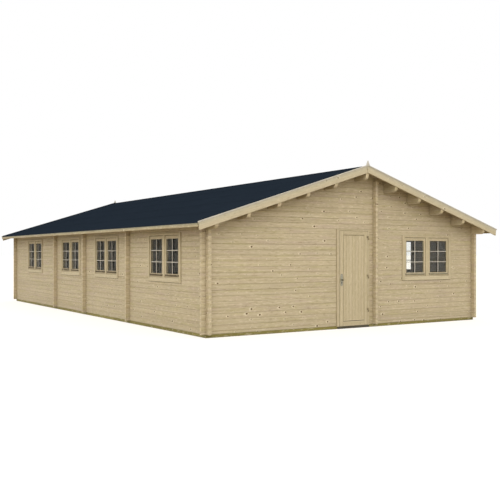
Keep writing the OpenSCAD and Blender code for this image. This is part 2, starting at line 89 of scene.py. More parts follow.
# Door
LEAF_LEFT, LEAF_RIGHT, LEAF_T = -0.475, 0.330, 0.044
LEAF_STILE, LEAF_TOP, LEAF_BOTTOM = 0.097, 0.084, 0.104
HEAD_T, JAMB_T, SILL_H = 0.034, 0.040, 0.050
LEAF_GAP, FREE_GAP, HINGE_GAP = 0.005, 0.008, 0.005
LEAF_Z0, LEAF_Z1 = 0.055, HEAD_Z - HEAD_T - LEAF_GAP
JAMB_LEFT, JAMB_RIGHT = LEAF_LEFT - FREE_GAP, LEAF_RIGHT + HINGE_GAP
DOOR_CASE_LEFT, DOOR_CASE_RIGHT = 0.078, 0.042
STOP_W, STOP_BACK = 0.015, 0.029
PANEL_BACK, PANEL_BOARDS = 0.012, 7
BEAD = ((0.0, 0.0), (0.012, 0.0), (0.010, 0.006), (0.005, 0.009), (0.0, 0.010))
BEAD_LEFT, BEAD_RIGHT, BEAD_LOW, BEAD_TOP = 0.006, 0.003, 0.012, 0.006
GAP_BACK, GAP_LOW_BACK, GAP_DEEP, GAP_EDGE = 0.009, 0.003, 0.0121, 0.0004
HANDLE_Z = 1.074
PLATE_T, ROSE_T, HOLE_T, SCREW_T = 0.004, 0.0065, 0.0072, 0.0052
KNOB = ((0.004, 0.0150), (0.006, 0.0145), (0.008, 0.0100), (0.028, 0.0095),
        (0.031, 0.0140), (0.034, 0.0215), (0.038, 0.0252), (0.042, 0.0258),
        (0.046, 0.0240), (0.049, 0.0195), (0.051, 0.0130), (0.0518, 0.0060))

# Eased edges of planed boards and of thin seals
PLANED, SEALED = 0.003, 0.0005


# Node material helpers
class Graph:
    """A node material with short calls for the nodes that the looks use."""

    def __init__(self, name):
        self.mat = bpy.data.materials.new(name)
        self.mat.use_nodes = True
        self.tree = self.mat.node_tree
        self.tree.nodes.clear()
        self.out = self.tree.nodes.new("ShaderNodeOutputMaterial")

    def put(self, socket, value):
        if isinstance(value, bpy.types.NodeSocket):
            self.tree.links.new(value, socket)
        elif value is not None:
            socket.default_value = value

    def node(self, kind, inputs=None, **props):
        n = self.tree.nodes.new("ShaderNode" + kind)
        for key, value in props.items():
            setattr(n, key, value)
        for key, value in (inputs or {}).items():
            self.put(n.inputs[key], value)
        return n

    def math(self, op, a, b=None):
        n = self.node("Math", operation=op)
        for i, value in enumerate((a, b)):
            self.put(n.inputs[i], value)
        return n.outputs[0]

    def add(self, a, b):
        return self.math("ADD", a, b)

    def sub(self, a, b):
        return self.math("SUBTRACT", a, b)

    def mul(self, a, b):
        return self.math("MULTIPLY", a, b)

    def div(self, a, b):
        return self.math("DIVIDE", a, b)

    def abs(self, a):
        return self.math("ABSOLUTE", a)

    def reach(self, a, b):
        """Distance to a point that lies a and b away along two axes."""
        return self.math("SQRT", self.add(self.math("POWER", a, 2.0), self.math("POWER", b, 2.0)))

    def ramp(self, value, lo, hi, to_lo=0.0, to_hi=1.0):
        n = self.node("MapRange", interpolation_type="SMOOTHSTEP")
        for i, x in enumerate((value, lo, hi, to_lo, to_hi)):
            self.put(n.inputs[i], x)
        return n.outputs[0]

    def vec(self, x, y, z):
        n = self.node("CombineXYZ")
        for i, value in enumerate((x, y, z)):
            self.put(n.inputs[i], value)
        return n.outputs[0]

    def split(self, vector):
        n = self.node("SeparateXYZ")
        self.put(n.inputs[0], vector)
        return n.outputs

    def where(self):
        """Place on a solid and direction of its surface, each as x, y and z."""
        place = self.node("TexCoord")
        return self.split(place.outputs["Object"]), self.split(place.outputs["Normal"])

    def facing(self, part):
        """One on faces that look along an axis, from that part of the surface direction."""
        return self.ramp(self.abs(part), 0.6, 0.9)

    def own_grain(self):
        """Grain run, tone and end faces that a board carries itself."""
        u, v, w = self.split(self.node("Attribute", attribute_name="grain").outputs["Vector"])
        tone = self.node("Attribute", attribute_name="tone").outputs["Fac"]
        end = self.node("Attribute", attribute_name="end").outputs["Fac"]
        return u, v, w, tone, end

    def noise(self, vector, scale, detail=2.0, rough=0.5):
        n = self.node("TexNoise", {"Vector": vector, "Scale": scale, "Detail": detail, "Roughness": rough})
        return n.outputs["Fac"]

    def chance(self, vector):
        n = self.node("TexWhiteNoise", {"Vector": vector}, noise_dimensions="3D")
        return self.split(n.outputs["Color"])

    def mix(self, fac, a, b, blend="MIX"):
        n = self.node("Mix", data_type="RGBA", blend_type=blend)
        self.put(n.inputs["Factor"], fac)
        self.put(n.inputs[6], a)
        self.put(n.inputs[7], b)
        return n.outputs[2]

    def bump(self, height, strength, distance):
        n = self.node("Bump", {"Height": height, "Strength": strength, "Distance": distance})
        return n.outputs["Normal"]

    def surface(self, color, rough, normal=None, **sockets):
        n = self.node("BsdfPrincipled", {"Base Color": color, "Roughness": rough})
        self.put(n.inputs["Normal"], normal)
        for key, value in sockets.items():
            n.inputs[key.replace("_", " ")].default_value = value
        self.tree.links.new(n.outputs[0], self.out.inputs[0])
        return self.mat


def srgb(r, g, b):
    """Linear colour of an 8-bit display colour."""
    lin = [c / 255 / 12.92 if c < 10 else ((c / 255 + 0.055) / 1.055) ** 2.4 for c in (r, g, b)]
    return (*lin, 1.0)


PALE = srgb(203, 188, 156)
WARM = srgb(182, 166, 131)
ROSY = srgb(191, 172, 148)
OLIVE = srgb(189, 176, 134)
LATE = srgb(158, 139, 104)
KNOT = srgb(102, 78, 45)
SAP = srgb(222, 208, 178)
RIM = srgb(242, 230, 199)
KNOT_STRETCH, KNOT_R, KNOT_SPREAD = 0.47, 0.011, 0.013
RINGS_PER_M = 210.0


def wood(g, u, v, w, seed, end, cell=LOG_H, knots=0.46, pale=PALE, warm=WARM, dirt_and_painted_shade=None, tone=0.07, hue=1.0,
         cut=0.05):
    """Spruce with rings round a hidden pith, streaks, knots and end grain; u runs with the grain."""
    r1, r2, r3 = g.chance(g.vec(seed, 0.37, 0.11))
    row = g.math("FLOOR", g.div(v, cell))
    vl = g.sub(v, g.mul(g.add(row, 0.5), cell))
    run = g.add(u, g.mul(r1, 40.0))

    # One knot at most in each stretch of a board
    at = g.div(run, KNOT_STRETCH)
    spot = g.math("FLOOR", at)
    k1, k2, k3 = g.chance(g.vec(spot, row, seed))
    du = g.mul(g.sub(g.sub(at, spot), g.add(0.2, g.mul(k1, 0.6))), KNOT_STRETCH)
    dv = g.sub(vl, g.mul(g.sub(k2, 0.5), cell * 0.62))
    size = g.add(KNOT_R, g.mul(k3, KNOT_SPREAD))
    rel = g.div(g.reach(g.mul(du, 0.72), dv), size)
    here = g.math("LESS_THAN", g.math("FRACT", g.mul(k3, 7.31)), knots)
    knot = g.mul(g.ramp(rel, 0.56, 0.96, 1.0, 0.0), here)
    ragged = g.noise(g.vec(g.mul(run, 26.0), g.mul(v, 60.0), seed), 1.0, 2.0)
    glow = g.reach(g.mul(g.add(du, 0.010), 0.55), dv)
    glow = g.mul(g.div(glow, size), g.add(0.15, g.mul(ragged, 1.9)))
    halo = g.mul(g.ramp(glow, 0.7, 1.7, 1.0, 0.0), here)

    # Growth rings, pushed aside by the knots
    pv = g.sub(vl, g.mul(g.sub(r2, 0.5), cell * 1.5))
    pw = g.add(w, g.add(0.03, g.mul(r3, 0.08)))
    rad = g.reach(pv, pw)
    sway = g.noise(g.vec(g.mul(run, 0.55), g.mul(vl, 5.0), g.mul(w, 5.0)), 1.0, 2.0)
    ring = g.add(g.mul(rad, RINGS_PER_M), g.add(g.mul(sway, 7.0), g.mul(halo, 2.2)))
    phase = g.math("FRACT", ring)
    late = g.mul(g.ramp(phase, 0.45, 0.9), g.ramp(phase, 0.93, 1.0, 1.0, 0.0))

    # Streaks, lines, fibre and patches drawn out along the grain
    streak = g.noise(g.vec(g.mul(run, 0.3), g.mul(v, 44.0), g.mul(w, 44.0)), 1.0, 3.0, 0.6)
    line = g.noise(g.vec(g.mul(run, 0.5), g.mul(v, 120.0), g.mul(w, 120.0)), 1.0, 1.0)
    fibre = g.noise(g.vec(g.mul(run, 14.0), g.mul(v, 520.0), g.mul(w, 520.0)), 1.0, 1.0)
    patch = g.noise(g.vec(g.mul(run, 1.6), g.mul(v, 7.0), g.mul(w, 7.0)), 1.0, 2.0)
    cast = g.noise(g.vec(g.mul(run, 1.3), g.mul(v, 12.0), seed), 1.0, 2.0)
    fleck = g.noise(g.vec(g.mul(run, 8.0), g.mul(v, 32.0), g.mul(w, 32.0)), 1.0, 2.0)

    # Colour, from the plain wood to knots and drying cracks
    color = g.mix(g.ramp(streak, 0.25, 0.8), pale, warm)
    color = g.mix(g.mul(g.ramp(cast, 0.52, 0.70, 0.0, 0.7), hue), color, ROSY)
    color = g.mix(g.mul(g.ramp(cast, 0.30, 0.46, 0.7, 0.0), hue), color, OLIVE)
    color = g.mix(g.ramp(fleck, 0.54, 0.70, 0.0, 0.42), color, SAP)
    color = g.mix(g.ramp(fleck, 0.27, 0.43, 0.50, 0.0), color, LATE)
    color = g.mix(g.mul(late, g.add(0.14, g.mul(end, 0.12))), color, LATE)
    ink = g.ramp(g.math("FRACT", g.mul(k3, 3.77)), 0.1, 0.6, 0.25, 1.0)
    color = g.mix(g.mul(g.mul(halo, 0.58), g.ramp(ink, 0.25, 0.7, 0.35, 1.0)), color, RIM)
    color = g.mix(g.mul(knot, ink), color, KNOT)
    check = g.noise(g.vec(g.mul(run, 1.1), g.mul(v, 240.0), g.mul(w, 240.0)), 1.0, 0.0)
    crack = g.ramp(check, 0.79, 0.83)
    color = g.mix(g.mul(crack, 0.35), color, KNOT)

    # Light and dark, with painted shade in nooks and painted light on end faces
    shade = g.add(g.add(1.0 - tone * 0.5, g.mul(r3, tone)), g.mul(g.sub(patch, 0.5), 0.14))
    drift = g.noise(g.vec(g.mul(u, 2.4), 0.0, 0.0), 1.0, 2.0)
    shade = g.add(shade, g.mul(g.sub(drift, 0.5), 0.13))
    shade = g.add(shade, g.mul(g.sub(fibre, 0.5), 0.10))
    shade = g.add(shade, g.mul(g.sub(line, 0.5), 0.16))
    # Painted shade: darker in nooks and creases, from ambient occlusion
    nook = g.node("AmbientOcclusion", {"Distance": 0.10}, samples=4).outputs["AO"]
    shade = g.mul(shade, g.ramp(nook, 0.35, 0.72, 0.74, 1.0))
    # Painted light: end faces paler by the given cut
    shade = g.mul(shade, g.add(1.0, g.mul(end, cut)))
    # Dirt and painted shade that the caller passes in
    if dirt_and_painted_shade is not None:
        shade = g.mul(shade, dirt_and_painted_shade)
    color = g.mix(1.0, color, g.vec(shade, shade, shade), "MULTIPLY")
    rough = g.add(0.58, g.mul(streak, 0.22))
    height = g.sub(g.add(g.mul(fibre, 0.35), g.mul(late, 0.5)), g.add(g.mul(knot, 0.5), crack))
    return color, rough, g.bump(height, 0.35, 0.0012)


def finish_wood(g, parts):
    """Bare planed wood with a faint sheen."""
    color, rough, normal = parts
    return g.surface(color, rough, normal, Specular_IOR_Level=0.28)


def steps(g, value, places):
    """Counts how many of the places lie below the value."""
    total = None
    for p in places:
        s = g.math("GREATER_THAN", value, p)
        total = s if total is None else g.add(total, s)
    return total


def log_material(name, along, joint_z, bays, depth):
    """Stacked logs of the solids: one board per course and bay, end grain on the log ends."""
    g = Graph(name)
    p, n = g.where()
    u = p[along]
    v = g.sub(p[2], joint_z)
    w = depth(g, p[1 - along])
    course = g.math("FLOOR", g.div(v, LOG_H))
    side = g.math("GREATER_THAN", p[1 - along], 0.0)
    bay = steps(g, u, bays)
    seed = g.add(g.add(g.mul(course, 1.37), g.mul(bay, 11.9)), g.mul(side, 53.3))
    end = g.facing(n[along])
    f = g.math("FRACT", g.div(v, LOG_H))
    edge = g.abs(g.sub(f, 0.5))
    seam = g.ramp(edge, 0.44, 0.497, 1.0, 0.99)
    splash = g.ramp(p[2], 0.05, 0.45, 0.985, 1.0)
    # Painted shading on the log ends: paler across the middle of each course, darker at its joints
    painted_end_shading = g.add(1.0, g.mul(end, g.ramp(edge, 0.14, 0.42, 0.07, -0.07)))
    dirt_and_painted_shade = g.mul(g.mul(seam, splash), painted_end_shading)
    return finish_wood(g, wood(g, u, v, w, seed, end, dirt_and_painted_shade=dirt_and_painted_shade))


def beam_material(name, level):
    """Beams and purlins that run along the cabin. The level paints their long sides, as painted shade below
    one and painted light above one; end faces get painted light.
    """
    g = Graph(name)
    p, n = g.where()
    per_metre = 2.6
    number = g.math("ROUND", g.mul(p[0], per_metre))
    w = g.sub(p[0], g.div(number, per_metre))
    end = g.facing(n[1])
    shade = g.ramp(end, 0.0, 1.0, level, 1.0)
    seed = g.mul(number, 3.31)
    return finish_wood(g, wood(g, p[1], p[2], w, seed, end, cell=0.30, knots=0.6, cut=0.22, dirt_and_painted_shade=shade))


def eaves_material(name):
    """Eaves boards, darker and greyer towards the top, with a dark band along the top edge."""
    g = Graph(name)
    (x, y, z), n = g.where()
    end = g.facing(n[1])
    seed = g.mul(g.math("GREATER_THAN", x, 0.0), 3.31)
    color, rough, normal = wood(g, y, z, 0.01, seed, end, cell=0.30, knots=0.6, cut=0.22,
                                pale=srgb(179, 165, 130), warm=srgb(162, 147, 112))
    top = FELT_0 - SLOPE * EAVES_X
    # Darker and greyer over the top few centimetres
    weather = g.ramp(z, top - 0.050, top - 0.016)
    color = g.mix(weather, color, g.mix(1.0, color, (0.74, 0.81, 0.89, 1.0), "MULTIPLY"))
    top_band = g.ramp(z, top - 0.0095, top - 0.0060)
    color = g.mix(top_band, color, srgb(44, 43, 42))
    return finish_wood(g, (color, rough, normal))


def slope_material(name):
    """Strips along the gable slopes, weathered to a pale grey, grain running down the slope."""
    g = Graph(name)
    (x, y, z), n = g.where()
    ax = g.abs(x)
    u = g.sub(g.mul(ax, COS), g.mul(z, SIN))
    v = g.add(g.mul(ax, SIN), g.mul(z, COS))
    side = g.add(g.mul(g.math("GREATER_THAN", x, 0.0), 7.7), g.math("GREATER_THAN", y, 0.0))
    layer = g.math("ROUND", g.mul(g.abs(y), 60.0))
    down = g.sub(g.mul(g.abs(n[0]), COS), g.mul(n[2], SIN))
    end = g.ramp(g.abs(down), 0.75, 0.95)
    seed = g.add(g.mul(side, 2.3), g.mul(layer, 0.71))
    w = g.sub(g.abs(y), DECK_Y)
    return finish_wood(g, wood(g, u, v, w, seed, end, cell=0.17, knots=0.45,
                               pale=srgb(197, 192, 180), warm=srgb(182, 176, 162), tone=0.04, hue=0.2))


def board_material(name, cell=0.10, knots=0.4, pale=PALE, warm=WARM, tone=0.12, hue=0.3):
    """Boards made here, which carry their own grain run and end faces."""
    g = Graph(name)
    parts = wood(g, *g.own_grain(), cell=cell, knots=knots, pale=pale, warm=warm, tone=tone, hue=hue)
    return finish_wood(g, parts)


def gable_material(name):
    """Bargeboards with their own grain, greyer towards the weathered upper edge."""
    g = Graph(name)
    color, rough, normal = wood(g, *g.own_grain(), cell=0.17, knots=0.3, tone=0.04, hue=0.3,
                                pale=srgb(203, 190, 158), warm=srgb(189, 174, 141))
    p = g.split(g.node("TexCoord").outputs["Object"])
    rise = g.add(g.mul(g.abs(p[0]), SIN), g.mul(p[2], COS))
    top = BARGE_0 * COS
    weather = g.ramp(rise, top - 0.105, top - 0.060)
    color = g.mix(weather, color, g.mix(1.0, color, (0.945, 0.985, 1.04, 1.0), "MULTIPLY"))
    return finish_wood(g, (color, rough, normal))


def treated_material(name):
    """Pressure treated beam, olive with darker streaks."""
    g = Graph(name)
    p, n = g.where()
    along_x = g.math("GREATER_THAN", g.abs(n[1]), 0.5)
    u = g.add(g.mul(p[0], along_x), g.mul(p[1], g.sub(1.0, along_x)))
    seed = g.math("ROUND", g.mul(u, 0.24))
    return finish_wood(g, wood(g, u, p[2], 0.01, seed, 0.0, cell=0.2, knots=0.5,
                               pale=srgb(145, 136, 72), warm=srgb(116, 107, 49), tone=0.14, hue=0.0))


def felt_material(name):
    """Mineral felt: blue black with fine grit and faint weather streaks."""
    g = Graph(name)
    p = g.node("TexCoord").outputs["Object"]
    grit = g.noise(p, 900.0, 1.0)
    cloud = g.noise(p, 1.3, 4.0, 0.6)
    x, y, z = g.split(p)
    run = g.noise(g.vec(g.mul(x, 0.5), g.mul(y, 9.0), g.mul(z, 0.5)), 1.0, 3.0)
    color = g.mix(g.ramp(grit, 0.35, 0.7), srgb(26, 33, 41), srgb(37, 45, 54))
    shade = g.add(0.94, g.add(g.mul(g.sub(cloud, 0.5), 0.22), g.mul(g.sub(run, 0.5), 0.12)))
    color = g.mix(1.0, color, g.vec(shade, shade, shade), "MULTIPLY")
    return g.surface(color, 0.95, g.bump(grit, 0.5, 0.002), Specular_IOR_Level=0.0)


def metal_material(name, color, rough):
    """Brushed metal with fine upright scratches and a little dulling."""
    g = Graph(name)
    p = g.node("TexCoord").outputs["Object"]
    x, y, z = g.split(p)
    brush = g.noise(g.vec(g.mul(x, 1800.0), g.mul(y, 1800.0), g.mul(z, 40.0)), 1.0, 2.0)
    dull = g.noise(p, 35.0, 3.0)
    tint = g.mix(g.ramp(dull, 0.3, 0.8), color, tuple(0.72 * c for c in color[:3]) + (1.0,))
    r = g.add(rough, g.add(g.mul(brush, 0.12), g.mul(dull, 0.14)))
    return g.surface(tint, r, g.bump(brush, 0.15, 0.0004), Metallic=1.0)


def near_black_material(name):
    """Near black seal, spacer, keyhole and painted shadow strip, dulled by dust."""
    g = Graph(name)
    p = g.node("TexCoord").outputs["Object"]
    dust = g.noise(p, 60.0, 3.0)
    color = g.mix(g.ramp(dust, 0.4, 0.8), srgb(20, 18, 16), srgb(34, 31, 27))
    return g.surface(color, g.add(0.6, g.mul(dust, 0.3)), g.bump(dust, 0.2, 0.0006), Specular_IOR_Level=0.2)


def sill_material(name):
    """Dark stained hardwood, rubbed a little paler along the middle."""
    g = Graph(name)
    p = g.node("TexCoord").outputs["Object"]
    x, y, z = g.split(p)
    grain = g.noise(g.vec(g.mul(x, 3.0), g.mul(y, 90.0), g.mul(z, 90.0)), 1.0, 3.0)
    wear = g.mul(g.ramp(z, 0.044, 0.050), g.ramp(g.abs(g.add(x, 0.07)), 0.1, 0.4, 1.0, 0.0))
    color = g.mix(g.ramp(grain, 0.3, 0.75), srgb(76, 68, 46), srgb(54, 48, 32))
    color = g.mix(g.mul(wear, 0.4), color, srgb(110, 98, 84))
    return g.surface(color, g.add(0.5, g.mul(grain, 0.2)), g.bump(grain, 0.3, 0.001))


def glass_material(name, clear):
    """Clear float glass with faint dust towards the lower edge."""
    g = Graph(name)
    p = g.node("TexCoord").outputs["Object"]
    z = g.split(p)[2]
    dust = g.mul(g.noise(p, 14.0, 3.0), g.ramp(z, WIN_Z + 0.08, WIN_Z + 0.35, 0.05, 0.015))
    return g.surface((0.97, 0.975, 0.965, 1.0), dust, Transmission_Weight=clear, IOR=1.02,
                     Specular_IOR_Level=0.1)


# Mesh helpers
class Boards:
    """Collects chamfered boards into one mesh; each board keeps its own grain run, tone and end faces."""

    def __init__(self, seed):
        self.rng = random.Random(seed)
        self.verts, self.faces = [], []
        self.grain, self.tone, self.end = [], [], []

    def face(self, ids, end=0.0):
        self.faces.append(ids)
        self.end.append(end)

    def points(self, local, lo, hi, axis, place):
        """Adds points of one board, with grain coordinates from its own corner and start."""
        first = len(self.verts)
        shift = self.rng.uniform(0.0, 60.0)
        tone = self.rng.uniform(0.0, 90.0)
        across = [k for k in range(3) if k != axis]
        across.sort(key=lambda k: hi[k] - lo[k], reverse=True)
        for p in local:
            self.verts.append(place(p))
            self.grain.append((p[axis] + shift, p[across[0]] - lo[across[0]], p[across[1]] - lo[across[1]]))
            self.tone.append(tone)
        return first

    def box(self, lo, hi, axis, place=tuple, chamfer=0.002):
        """A board between two corners with its grain along an axis."""
        lo, hi = [min(a, b) for a, b in zip(lo, hi)], [max(a, b) for a, b in zip(lo, hi)]
        c = min(chamfer, 0.4 * min(h - l for l, h in zip(lo, hi)))
        local = []
        for i in range(8):
            bits = [(i >> k) & 1 for k in range(3)]
            for k in range(3):
                local.append([
                    (hi[a] if bits[a] else lo[a]) if a == k else (hi[a] - c if bits[a] else lo[a] + c)
                    for a in range(3)])
        f = self.points(local, lo, hi, axis, place)
        for k in range(3):
            a, b = (k + 1) % 3, (k + 2) % 3
            for s in (0, 1):
                ring = [(s << k) | (x << a) | (y << b) for x, y in ((0, 0), (1, 0), (1, 1), (0, 1))]
                self.face([f + 3 * i + k for i in (ring if s else ring[::-1])], 1.0 if k == axis else 0.0)
            for x in (0, 1):
                for y in (0, 1):
                    i, j = (x << a) | (y << b), (x << a) | (y << b) | (1 << k)
                    quad = [f + 3 * i + a, f + 3 * j + a, f + 3 * j + b, f + 3 * i + b]
                    self.face(quad if x != y else quad[::-1])
        for i in range(8):
            odd = bin(i).count("1") % 2
            tri = [f + 3 * i, f + 3 * i + 1, f + 3 * i + 2]
            self.face(tri if odd else tri[::-1])

    def prism(self, outline, axis, start, stop, place=tuple):
        """A moulding: an outline in the other two axes, drawn out along an axis."""
        a, b = (axis + 1) % 3, (axis + 2) % 3
        local = []
        for t in (start, stop):
            for p, q in outline:
                point = [0.0, 0.0, 0.0]
                point[axis], point[a], point[b] = t, p, q
                local.append(point)
        lo = [min(p[k] for p in local) for k in range(3)]
        hi = [max(p[k] for p in local) for k in range(3)]
        f, n = self.points(local, lo, hi, axis, place), len(outline)
        self.face([f + i for i in range(n)][::-1], 1.0)
        self.face([f + n + i for i in range(n)], 1.0)
        for i in range(n):
            j = (i + 1) % n
            self.face([f + i, f + j, f + n + j, f + n + i])

    def build(self, name, material, body, replaced=(), slot=None):
        """Makes one piece of all the boards collected so far."""
        mesh = bpy.data.meshes.new(name)
        mesh.from_pydata([tuple(v) for v in self.verts], [], self.faces)
        runs = [c for run in self.grain for c in run]
        mesh.attributes.new("grain", "FLOAT_VECTOR", "POINT").data.foreach_set("vector", runs)
        mesh.attributes.new("tone", "FLOAT", "POINT").data.foreach_set("value", self.tone)
        mesh.attributes.new("end", "FLOAT", "FACE").data.foreach_set("value", self.end)
        bm = bmesh.new()
        bm.from_mesh(mesh)
        bmesh.ops.recalc_face_normals(bm, faces=bm.faces)
        bm.to_mesh(mesh)
        bm.free()
        return piece(name, mesh, material, body, replaced)


def piece(name, mesh, material, body, replaced=()):
    """Adds a mesh to the scene on a body, with the solids it stands for."""
    obj = bpy.data.objects.new(name, mesh)
    bpy.context.scene.collection.objects.link(obj)
    mesh.materials.append(material)
    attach(obj, body)
    if replaced:
        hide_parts(*replaced)
    return obj


def soften(obj, width, angle):
    """Rounds the sharp edges of a piece."""
    soft = obj.modifiers.new("soft_edges", "BEVEL")
    soft.width = width
    soft.segments = 2
    soft.limit_method = "ANGLE"
    soft.angle_limit = math.radians(angle)


def dress(name, material, bevel=0.0):
    """Gives a solid its material, and softens its edges where asked."""
    obj = nodes[name]
    obj.data.materials.clear()
    obj.data.materials.append(material)
    if bevel:
        weld = obj.modifiers.new("weld", "WELD")
        weld.merge_threshold = 0.00005
        soften(obj, bevel, 40)


def from_cross_logs(g, y):
    """Distance from the nearest of the three cross stacks of a side wall."""
    first, second, third = [g.abs(g.sub(y, at)) for at in CROSS_Y]
    return g.math("MINIMUM", first, g.math("MINIMUM", second, third))


# Materials
logs_x = log_material("logs_along_x", 0, BASE_H + LOG_H / 2, (-0.5, CROSS_X),
                      lambda g, w: g.sub(g.abs(w), HALF_L - LOG_T / 2))
logs_y = log_material("logs_along_y", 1, BASE_H, CROSS_Y,
                      lambda g, w: g.sub(g.abs(w), HALF_W - LOG_T / 2))
stack_x = log_material("stack_logs_along_x", 0, BASE_H + LOG_H / 2, (0.0,), from_cross_logs)
stack_y = log_material("stack_logs_along_y", 1, BASE_H, (0.0,), lambda g, w: g.sub(w, CROSS_X))
# Painted light on the long sides of the eaves beams, painted shade on those of the ridge beam and purlins
beams = beam_material("eaves_beams", 1.08)
purlins = beam_material("purlins", 0.87)
eaves_boards = eaves_material("eaves_boards")
slopes = slope_material("gable_strips")
gables = gable_material("gable_boards")
bars = board_material("glazing_bars", cell=0.05, knots=0.0, tone=0.03,
                      pale=srgb(206, 200, 186), warm=srgb(192, 186, 172))
# Drip mouldings darkened as painted shade of their undersides; the side windows get a darker, more shaded
# copy than the front one
side_drips_painted_shade = board_material("drip_shade_paint", cell=0.09, knots=0.0, tone=0.05, hue=0.0,
                       pale=srgb(96, 83, 61), warm=srgb(79, 68, 48))
front_drips_painted_shade = board_material("front_drip_shade_paint", cell=0.09, knots=0.0, tone=0.05, hue=0.0,
                             pale=srgb(159, 151, 127), warm=srgb(141, 133, 109))
joinery = board_material("window_and_door_wood", cell=0.09, knots=0.0, tone=0.06,
                         pale=srgb(202, 187, 153), warm=srgb(185, 169, 133))
# Bottom casing boards, paler than the other joinery as painted light
low_casing = board_material("low_casing_painted_light", cell=0.09, knots=0.0, tone=0.06,
                            pale=srgb(210, 196, 163), warm=srgb(194, 179, 144))
decking = board_material("roof_boards", cell=0.10, knots=0.55)
flooring = board_material("floor_boards", cell=0.12, knots=0.5, warm=srgb(178, 154, 114))
treated = treated_material("treated_beam")
felt = felt_material("roofing_felt")
steel = metal_material("satin_nickel", (0.43, 0.41, 0.32, 1.0), 0.42)
# Knobs darker than the plates: their own dark finish, partly painted shade of the handle
dark_knob_metal = metal_material("dark_nickel", (0.20, 0.18, 0.12, 1.0), 0.45)
iron = metal_material("yellow_zinc", (0.40, 0.33, 0.21, 1.0), 0.50)
near_black = near_black_material("dark_seal_and_shadow")
sill = sill_material("dark_sill")
glass = glass_material("window_glass", 0.990)
inner_glass = glass_material("inner_window_glass", 0.968)
side_glass = glass_material("inner_side_glass", 0.982)

for name in ("front_wall_left", "front_wall_right", "front_gable", "back_wall", "back_gable"):
    dress(name, logs_x)
for name in ("left_wall", "right_wall"):
    dress(name, logs_y)
for name in ("left_cross_logs", "right_cross_logs"):
    dress(name, stack_x)
for name in ("front_cross_logs", "back_cross_logs"):
    dress(name, stack_y)
for name in ("left_eaves_beam", "right_eaves_beam"):
    dress(name, beams, 0.004)
for name in ("ridge_beam", "left_purlins", "right_purlins"):
    dress(name, purlins, 0.004)
for name in ("front_barge_trims", "back_barge_trims", "front_finial", "back_finial"):
    dress(name, slopes, 0.002)
for name in ("left_fascia", "right_fascia"):
    dress(name, eaves_boards, 0.003)
for name in ("foundation_beams", "floor_joists"):
    dress(name, treated, 0.003)
for name in ("front_window_glass", "left_window_glass", "right_window_glass"):
    dress(name, glass)
dress("door_threshold", sill, 0.003)
dress("hinge_pins", iron, 0.0012)
dress("door_hinges", iron, 0.0012)


# Windows: casing boards, lining, middle post, sashes, drip mouldings and glazing bars
def window(frames, sills, sashes, bar_rows, drip_rows, seals_and_shadow_strips, panes, place):
    half, low, top = WIN_W / 2, WIN_Z - CASE_BOTTOM, WIN_Z + WIN_H
    for y0, y1 in ((-CASE_T, 0.0), (LOG_T, LOG_T + CASE_T)):
        for s in (-1, 1):
            frames.box((s * half, y0, low), (s * (half + CASE_SIDE), y1, top + CASE_TOP), 2, place, PLANED)
        frames.box((-half, y0, top), (half, y1, top + CASE_TOP), 0, place, PLANED)
        sills.box((-half, y0, low), (half, y1, WIN_Z), 0, place, PLANED)
    # Painted shadow: a near black strip on the logs under the bottom casing
    wide = half + CASE_SIDE - CASE_SHADOW_IN
    seals_and_shadow_strips.box((-wide, -CASE_SHADOW_T, low - CASE_SHADOW_H), (wide, 0.0, low), 0, place, SEALED)
    for s in (-1, 1):
        frames.box((s * half, 0.0, WIN_Z - FRAME_T), (s * (half + FRAME_T), LOG_T, top + FRAME_T), 2, place)
    frames.box((-half, 0.0, WIN_Z - FRAME_T), (half, LOG_T, WIN_Z), 0, place)
    frames.box((-half, 0.0, top), (half, LOG_T, top + FRAME_T), 0, place)
    post = MULLION / 2
    frames.box((-post, -CASE_T + MULLION_BACK, WIN_Z), (post, LOG_T + CASE_T, top), 2, place, 0.004)
    for left in (-half, post):
        right = left + SASH_W
        x0, x1 = left + SASH_SIDE_GAP, right - SASH_SIDE_GAP
        y0, y1 = SASH_FRONT, SASH_BACK
        z0, z1 = WIN_Z + SASH_LOW_GAP, top - SASH_TOP_GAP
        g0, g1 = left + SASH_STILE, right - SASH_STILE
        h0, h1 = WIN_Z + SASH_BOTTOM, top - SASH_TOP
        sashes.box((x0, y0, z0), (g0, y1, z1), 2, place, PLANED)
        sashes.box((g1, y0, z0), (x1, y1, z1), 2, place, PLANED)
        sashes.box((g0, y0, z0), (g1, y1, h0), 0, place, PLANED)
        sashes.box((g0, y0, h1), (g1, y1, z1), 0, place, PLANED)
        foot = WIN_Z + DRIP_Z
        outline = [(y0 - out, foot + up) for out, up in DRIP]
        drip_rows.prism(outline, 0, x0 + DRIP_IN, x1 - DRIP_IN, place)
        for xa, xb in ((g0, g0 + GASKET_W), (g1 - GASKET_W, g1)):
            seals_and_shadow_strips.box((xa, GASKET_FACE, h0), (xb, GLASS_FACE, h1), 2, place, SEALED)
        glazing_bars(bar_rows, seals_and_shadow_strips, g0, g1, h0, h1, place)
        panes.box((g0, INNER_PANE[0], h0), (g1, INNER_PANE[1], h1), 2, place, SEALED)
        s0, s1 = SASH_SEAL
        for xa, xb in ((left, x0), (x1, right)):
            seals_and_shadow_strips.box((xa, s0, z0), (xb, s1, z1), 2, place, SEALED)
        seals_and_shadow_strips.box((left, s0, z1), (right, s1, top), 0, place, SEALED)


